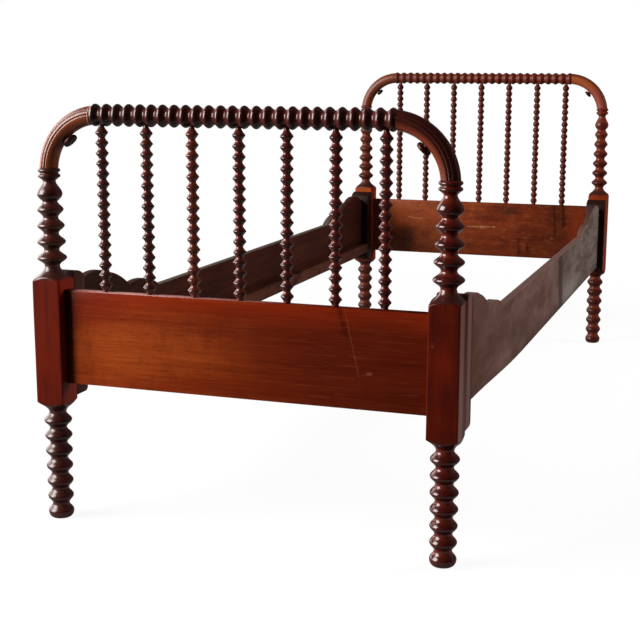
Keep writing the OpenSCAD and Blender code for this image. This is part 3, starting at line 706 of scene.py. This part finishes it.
ACROSS = (5, 70, 70)
RAIL_HEIGHT = {"foot": 0.7605, "head": 0.8115}
for end, faded, coat, dullness in (("foot", 0.0, 1.0, 0.25), ("head", 0.50, 0.50, 0.36)):
    top_rail_wood = turned_wood(
        f"{end}_top_rail_wood",
        ACROSS,
        lambda wood, end=end: wood.away(abs(wood.y) - END_ALONG, wood.z - RAIL_HEIGHT[end]),
        neck=0.015,
        rim=0.023,
        deep=(0.010, 0.0030, 0.0026),
        warm=(0.026, 0.0065, 0.0048),
        faded=faded,
    )
    if end == "foot":
        top_rail_wood.stain = top_rail_wood.mix(0.45, top_rail_wood.stain, (0.018, 0.0045, 0.0036))
    mesh = turned_mesh(f"{end}_top_rail", 0, RING_STEP, 40, RIM_EASE)
    top_rail = varnish(top_rail_wood, coat, dullness)
    place_piece(f"{end}_top_rail_turned", mesh, top_rail, "bed_ends", "turned_wood", f"{end}_top_rail")

# ---- The elbows ----
# A quarter bend joins each post to its top rail, sawn from a block, rounded and reeded.
# It shows more worn, orange wood than the turnings do.

ELBOW_BEND = {"foot": 0.1035, "head": 0.102}
QUIRKS = ((93, 84, 0.0012), (71, 56, 0.0012), (50, 29, 0.0003))
QUIRK_WIDE = 4.5


def elbow_wood(end):
    """An elbow's finish: worn orange and darker at the right, which at the foot is painted shade, with darker
    lines along the quirks at the foot.
    """
    wood = turned_wood(
        f"{end}_elbow_wood",
        (30, 60, 30),
        deep=(0.085, 0.0170, 0.0055),
        warm=(0.175, 0.0420, 0.0130),
    )
    middle_x, middle_z = POST_ACROSS - ELBOW_BEND[end], RAIL_HEIGHT[end] - ELBOW_BEND[end]
    from_bend = wood.away(abs(wood.x) - middle_x, wood.z - middle_z)
    if end == "head":
        upper = wood.step(wood.z, 0.760, 0.800)
        right_side_colour = wood.mix(upper, (0.240, 0.0480, 0.0300), (0.300, 0.0680, 0.0160))
        right_side_colour = wood.mix(0.7 * wood.step(from_bend, 0.107, 0.114), right_side_colour, (0.035, 0.0140, 0.0070))
        wood.stain = wood.mix(0.85 * wood.step(wood.x, -0.25, 0.25), wood.stain, right_side_colour)
        return wood
    # At the foot the right elbow is painted dark towards the outside of its bend, a painted shade on the side
    # away from the light.
    outer = wood.step(from_bend, 0.092, 0.104)
    right_side_colour = wood.mix(outer, (0.155, 0.0270, 0.0075), (0.028, 0.0042, 0.0030))
    stain = wood.mix(0.85 * wood.step(wood.x, -0.25, 0.25), wood.stain, right_side_colour)
    front = wood.step(wood.y, -0.984, -0.990)
    turned = wood.x.math("ARCTAN2", wood.z - middle_z, abs(wood.x) - middle_x)
    # The front face is darker along the two deep quirks.
    for at_post, at_rail, _ in QUIRKS[:2]:
        swing = turned * (math.radians(at_rail - at_post) * 2 / math.pi) + math.radians(at_post)
        quirk_line = ELBOW_BEND[end] + 0.0165 * turned.math("COSINE", swing)
        quirk_dark = wood.step(abs(from_bend - quirk_line), 0.0016, 0.0004)
        stain = wood.mix(0.6 * quirk_dark * front, stain, (0.030, 0.0060, 0.0030))
    # A painted highlight: a pale ring where the left foot elbow meets its rail, where light catches the edge.
    joint_highlight = wood.step(abs(wood.x), 0.2850, 0.2838) * wood.step(wood.x, 0, -0.2)
    wood.stain = wood.mix(0.7 * joint_highlight, stain, (0.420, 0.2100, 0.1500))
    return wood


RAIL_LAP = 0.0036


def elbow_mesh(end, side):
    """The bend as arcs round its centre, each cut off at the post's top and at the rail's end."""
    low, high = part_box(f"{end}_{side}_elbow")
    thick, bend = high.y - low.y, ELBOW_BEND[end]
    hand = math.copysign(1, low.x)
    centre_x, centre_z = POST_ACROSS - bend, RAIL_HEIGHT[end] - bend
    foot_z, stop_x = low.z + END_INSET, min(abs(low.x), abs(high.x)) - RAIL_LAP
    angles = list(range(112, 368, 8))
    angles += [n * 1.25 for n in range(8, 88)] if end == "foot" else range(8, 112, 8)
    around, along = len(angles), 60
    made = bmesh.new()
    rows = [[] for _ in range(along + 1)]
    for angle in angles:
        for n, row in enumerate(rows):
            out = thick / 2 - 0.00002
            if end == "foot":
                cuts = []
                for at_post, at_rail, depth in QUIRKS:
                    gap = angle - at_post - (at_rail - at_post) * n / along
                    cuts.append(depth * math.exp(-((gap / QUIRK_WIDE) ** 2)))
                out -= max(cuts)
            reach = bend + out * math.cos(math.radians(angle))
            y = (low.y + high.y) / 2 - out * math.sin(math.radians(angle))
            first = math.asin((foot_z - centre_z) / reach)
            last = math.acos((stop_x - centre_x) / reach)
            turned = first + (last - first) * n / along
            x, z = centre_x + reach * math.cos(turned), centre_z + reach * math.sin(turned)
            row.append(made.verts.new((hand * x, y, z)))
    for one, other in zip(rows, rows[1:]):
        for k in range(around):
            n = (k + 1) % around
            made.faces.new((one[k], one[n], other[n], other[k]))
    made.faces.new(rows[0])
    made.faces.new(rows[-1])
    return finished(made, f"{end}_{side}_elbow")


for end, coat, dullness in (("foot", 0.8, 0.26), ("head", 0.6, 0.38)):
    elbow = varnish(elbow_wood(end), coat, dullness, even=0.0)
    for side in ("left", "right"):
        node = f"{end}_{side}_elbow"
        place_piece(f"{node}_reeded", elbow_mesh(end, side), elbow, "bed_ends", "turned_wood", node)

# ---- The buttons ----
# A small turned button sits in the bend of each elbow, on the side that faces the spindles.
# It is a separate turning on a peg of its own, glued into a hole in the elbow.

button_wood = turned_wood(
    "button_wood", ACROSS, deep=(0.010, 0.0040, 0.0030), warm=(0.026, 0.0075, 0.0055)
)
button = varnish(button_wood, 0.4, 0.25)
for end in ("foot", "head"):
    for side in ("left", "right"):
        dress(f"{end}_{side}_button", button)

# ---- The hook pins ----
# Iron pins are driven across a slot in each post, for the hooks of the side rails to bear on.
# They are plain round iron, brown with age, and hidden inside the block.


def worn_iron(name, dark, light):
    metal = board_wood(name, (60, 60, 60), dark, light)
    return metal.surface(
        Base_Color=metal.stain,
        Metallic=0.85 - 0.5 * metal.cloud,
        Roughness=0.42 + 0.25 * metal.cloud,
        Normal=metal.bump(metal.figure, 0.0003, 0.3),
    )


iron = worn_iron("forged_iron", (0.030, 0.024, 0.020), (0.110, 0.095, 0.080))
for end in ("foot", "head"):
    dress(f"{end}_hook_pins", iron)

# ---- The side rails ----
# Two long boards join the ends, their upper edges sawn to three lobes by each post.
# Outside they are dull and scuffed, and inside they were stained and never varnished; their upper faces carry
# a painted sheen, and their outer faces painted shade along the bottom edge.

RAIL_ARRIS = 0.0015
RAIL_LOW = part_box("right_side_rail")[0].z


def rail_finish(name):
    wood = board_wood(name, (60, 3.5, 60), (0.022, 0.0048, 0.0030), (0.048, 0.0115, 0.0068))
    patch = wood.noise((7, 5, 14), detail=4, rough=0.65, offset=2)
    outer = wood.mix(wood.step(patch, 0.30, 0.70), (0.078, 0.0360, 0.0270), (0.155, 0.0860, 0.0690))
    mottle = wood.noise((30, 12, 40), detail=4, rough=0.7, offset=8)
    greyer = wood.step(wood.y + 0.2 * patch, 0.10, 0.50)
    grey_stain = wood.mix(wood.step(mottle, 0.36, 0.62), (0.056, 0.0390, 0.0340), (0.125, 0.0980, 0.0880))
    outer = wood.mix(0.8 * greyer, outer, grey_stain)
    brown = wood.step(wood.y + 0.3 * patch, -0.25, -0.80)
    outer = wood.mix(0.7 * brown, outer, (0.090, 0.0370, 0.0250))
    # The outer face is darker towards the bottom.
    darker_low = wood.step(wood.z + 0.02 * patch, 0.285, 0.255)
    outer = wood.mix(0.5 * darker_low, outer, (0.045, 0.0200, 0.0160))
    pale = wood.spot(wood.y + 0.2 * patch, wood.z, (0.44, 0.272), (0.26, 0.050), soft=0.9)
    right = wood.step(wood.x, -0.1, 0.1)
    outer = wood.mix(0.5 * pale * right, outer, (0.230, 0.1900, 0.1720))
    ruddy = wood.spot(wood.y + 0.1 * patch, wood.z, (0.02, 0.415), (0.20, 0.050), soft=0.9)
    outer = wood.mix(0.5 * ruddy * right, outer, (0.115, 0.0420, 0.0420))
    # Painted shade along the bottom edge of the outer face, where it turns under.
    bottom_edge_shade = wood.step(wood.z, RAIL_LOW + 0.004, RAIL_LOW + 0.001)
    outer = wood.mix(0.8 * bottom_edge_shade, outer, (0.014, 0.0060, 0.0050))
    outside = wood.step(abs(wood.x), 0.3795, 0.3835)
    stain = wood.mix(outside, wood.stain, outer)
    band = wood.streak(wood.y, wood.z, (0.165, 0.420), (0.205, 0.230), 0.045, soft=0.6)
    stain = wood.mix(0.7 * band * outside * right, stain, (0.030, 0.0180, 0.0150))
    strip = wood.streak(wood.y, wood.z, (-0.853, 0.440), (-0.853, 0.240), 0.022)
    stain = wood.mix(0.45 * strip * outside * right, stain, (0.200, 0.1250, 0.1050))
    # The inner faces are darker towards the foot.
    darker_inside_to_foot = wood.step(wood.y + 0.2 * patch, -0.30, -0.80)
    stain = wood.mix(0.6 * darker_inside_to_foot * (1 - outside), stain, (0.014, 0.0100, 0.0065))
    upper = wood.facing_up()
    # A painted sheen: the right rail's upward faces are painted pale, except near the head.
    wear_and_sheen = upper * wood.step(wood.x, -0.2, 0.2) * wood.step(wood.y, 0.95, 0.45)
    stain = wood.mix((0.40 + 0.4 * patch) * wear_and_sheen, stain, (0.200, 0.1150, 0.1000))
    # A painted sheen: the left rail's upward faces are painted pale grey along their middle.
    edge = upper * wood.step(wood.x, 0.2, -0.2) * wood.step(abs(wood.y), 0.66, 0.60)
    wood.stain = wood.mix(0.7 * edge, stain, (0.100, 0.0760, 0.0620))
    return wood


def dull(wood, rough=0.58):
    """Old stained wood with no varnish left."""
    return wood.surface(
        Base_Color=wood.stain,
        Roughness=rough + 0.22 * wood.cloud,
        Specular_IOR_Level=0.15,
        Normal=wood.bump(wood.figure, 0.0003, 0.35),
    )


rail = dull(rail_finish("side_rail_wood"))
for side, hand in (("left", -1), ("right", 1)):
    node = f"{side}_side_rail"
    low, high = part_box(node)
    mesh = rounded_board(node, eased(face_outline(node, 0, hand)), 0, low.x, high.x, RAIL_ARRIS)
    place_piece(f"{node}_board", mesh, rail, f"{side}_rail", "rail_wood", node)

# ---- The end blocks ----
# A thick block with a round top stands at each end of a side rail, against the post.
# The rail's tongue is glued into it, and the bed iron is let into its end.

block_wood = board_wood("end_block_wood", (60, 60, 5), (0.026, 0.0085, 0.0060), (0.058, 0.0230, 0.0160))
outside = block_wood.step(abs(block_wood.x), 0.398, 0.401)
# The head blocks are painted nearly black, a painted shade for the shadow cast on them by the rails.
at_head = block_wood.step(block_wood.y, -0.2, 0.2)
block_wood.stain = block_wood.mix(0.9 * at_head, block_wood.stain, (0.014, 0.0034, 0.0024))
# A painted highlight: a pale band on the outer face of each block by the post, where light catches its edge.
block_edge_highlight = outside * block_wood.step(abs(block_wood.y), 0.918, 0.928)
block_edge_highlight_colour = block_wood.mix(at_head, (0.165, 0.0830, 0.0660), (0.095, 0.0290, 0.0180))
block_wood.stain = block_wood.mix(0.8 * block_edge_highlight, block_wood.stain, block_edge_highlight_colour)
end_block = dull(block_wood, 0.45)
for side, hand in (("left", -1), ("right", 1)):
    for end in ("foot", "head"):
        node = f"{side}_{end}_end_block"
        low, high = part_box(node)
        mesh = rounded_board(node, face_outline(node, 0, hand), 0, low.x, high.x, RAIL_ARRIS)
        place_piece(f"{node}_board", mesh, end_block, f"{side}_rail", "rail_wood", node)

# ---- The hook plates ----
# A forged plate with two hooks is riveted into each end block and drops over the pins in the post.
# Lifting the rail frees it, so the bedstead comes apart without tools.

for side in ("left", "right"):
    for end in ("foot", "head"):
        dress(f"{side}_{end}_hook_plate", iron)

# ---- The slat cleats ----
# A strip of the same wood is screwed along the inside of each side rail and carries the slats.
# It was left as the saw cut it, and only stained, so its knots show as dark spots.

cleat_wood = board_wood("cleat_wood", (60, 3, 60), (0.042, 0.0115, 0.0065), (0.105, 0.0330, 0.0190))
spots = cleat_wood.step(cleat_wood.noise((30, 30, 40), detail=2, offset=5), 0.58, 0.66)
cleat_wood.stain = cleat_wood.mix(0.7 * spots, cleat_wood.stain, (0.014, 0.0060, 0.0040))
cleat = dull(cleat_wood)
for side in ("left", "right"):
    dress(f"{side}_slat_cleat", cleat)

# ---- The rail fixings ----
# Iron screws hold each cleat to its rail, and rivets hold each hook plate in its end block.
# Their heads are the colour of old rust.

rusty = worn_iron("screw_iron", (0.028, 0.016, 0.011), (0.080, 0.052, 0.038))
for side in ("left", "right"):
    dress(f"{side}_rail_fixings", rusty)

# ---- The room ----
# A sheet of white paper lies under and hangs behind the bedstead, in a room with one wide window at the left.
# The camera sees white all round, and a gloss sees a share of that white.

FLOOR_HALF = 12
PAPER_GLEAM = 0.12
PAPER_RIGHT = 0.60
PAPER_FRONT = -1.25


def seen_rays(finish, where):
    """1 for the camera, and where for rays that a gloss or a clear piece sends on."""
    camera, glossy, through = (
        finish.add("ShaderNodeLightPath", out=f"Is {kind} Ray")
        for kind in ("Camera", "Glossy", "Transmission")
    )
    return camera.math("MAXIMUM", camera, glossy.math("MAXIMUM", glossy, through) * where)


def make_floor():
    mesh = bpy.data.meshes.new("floor")
    corners = [(x * FLOOR_HALF, y * FLOOR_HALF, 0) for x, y in ((-1, -1), (1, -1), (1, 1), (-1, 1))]
    mesh.from_pydata(corners, [], [(0, 1, 2, 3)])
    floor = bpy.data.objects.new("floor", mesh)
    bpy.context.scene.collection.objects.link(floor)
    paint = Finish("floor_paper")
    paper = paint.step(paint.x, PAPER_RIGHT + 0.3, PAPER_RIGHT) * paint.step(
        paint.y, PAPER_FRONT - 0.3, PAPER_FRONT
    )
    shade = paint.mix(paper, (0.05, 0.05, 0.05), (0.24, 0.24, 0.24))
    shade = paint.mix(paint.add("ShaderNodeLightPath", out="Is Camera Ray"), shade, (1.0, 1.0, 1.0))
    pale = paint.add("ShaderNodeBsdfDiffuse", {}, {"Color": shade})
    white = paint.add("ShaderNodeEmission", {}, {"Color": (1, 1, 1, 1), "Strength": 1.0})
    far = paint.step(paint.away(paint.x, 0.7 * paint.y), 0.8, 1.8)
    lit = 0.92 + 0.08 * far
    seen = seen_rays(paint, PAPER_GLEAM * paper) * lit
    paint.add_output(paint.add("ShaderNodeMixShader", {}, {0: seen, 1: pale, 2: white}))
    mesh.materials.append(paint.material)


make_floor()


class Air(Finish):
    """The world's own tree, whose place is the direction that a ray leaves in."""

    def __init__(self, name):
        self.world = bpy.data.worlds.new(name)
        self.world.use_nodes = True
        self.tree = self.world.node_tree
        self.tree.nodes.clear()
        self.place = self.add("ShaderNodeTexCoord", out="Generated")

    def add_output(self, shader):
        output = self.tree.nodes.new("ShaderNodeOutputWorld")
        self.tree.links.new(shader.socket, output.inputs["Surface"])


air = Air("air")
DIM = 0.02
BACKDROP = 0.06
behind = air.add(
    "ShaderNodeVectorMath", {"operation": "DOT_PRODUCT"}, {0: air.place, 1: (0.2, 0.98, 0)}, out="Value"
)
behind = air.step(behind, -0.1, 0.6)
glow = DIM + (BACKDROP - DIM) * behind
seen = seen_rays(air, 0.35 * PAPER_GLEAM * behind)
light_level = glow + (1 - glow) * seen
air.add_output(air.add("ShaderNodeBackground", {}, {"Color": (1, 1, 1, 1), "Strength": light_level}))
bpy.context.scene.world = air.world


def lamp(name, place, target, size, power, tint=(1, 1, 1), glossy=True, diffuse=True):
    light = bpy.data.lights.new(name, "AREA")
    light.shape = "RECTANGLE"
    light.size, light.size_y = size
    light.energy = power
    light.color = tint
    stand = bpy.data.objects.new(name, light)
    bpy.context.scene.collection.objects.link(stand)
    stand.location = place
    aim = Vector(target) - Vector(place)
    stand.rotation_euler = aim.to_track_quat("-Z", "Y").to_euler()
    stand.visible_glossy = glossy
    stand.visible_diffuse = diffuse


lamp("window", (-3.7, -3.2, 2.2), (0, -0.6, 0.5), (2.9, 3.6), 600, (1, 0.935, 0.905))
lamp("wall", (-4.6, 0.4, 1.8), (0, -0.3, 0.5), (6.0, 3.6), 260, (1, 0.91, 0.89), diffuse=False)
lamp("door", (4.2, 1.6, 1.8), (0, 0, 0.4), (2.5, 2.5), 225, glossy=False)

# ---- The camera ----
# It stands at the foot, a little to the right, where the photograph was taken from.
# Its place, turn and lens were solved from the evenly pitched rings of the turnings.

CAMERA_PLACE = (0.862, -3.035, 0.845)
CAMERA_TURN = math.radians(19.14)
CAMERA_DIP = math.radians(11.12)
CAMERA_ROLL = math.radians(0.14)
LENS_MM = 72.38
camera = bpy.data.cameras.new("camera")
camera.sensor_width = 36
camera.lens = LENS_MM
view = bpy.data.objects.new("camera", camera)
bpy.context.scene.collection.objects.link(view)
turn = Matrix.Rotation(CAMERA_TURN, 4, "Z")
tilt = Matrix.Rotation(math.radians(90) - CAMERA_DIP, 4, "X")
roll = Matrix.Rotation(CAMERA_ROLL, 4, "Z")
view.matrix_world = Matrix.Translation(CAMERA_PLACE) @ turn @ tilt @ roll
bpy.context.scene.camera = view
bpy.context.scene.view_settings.view_transform = "Standard"
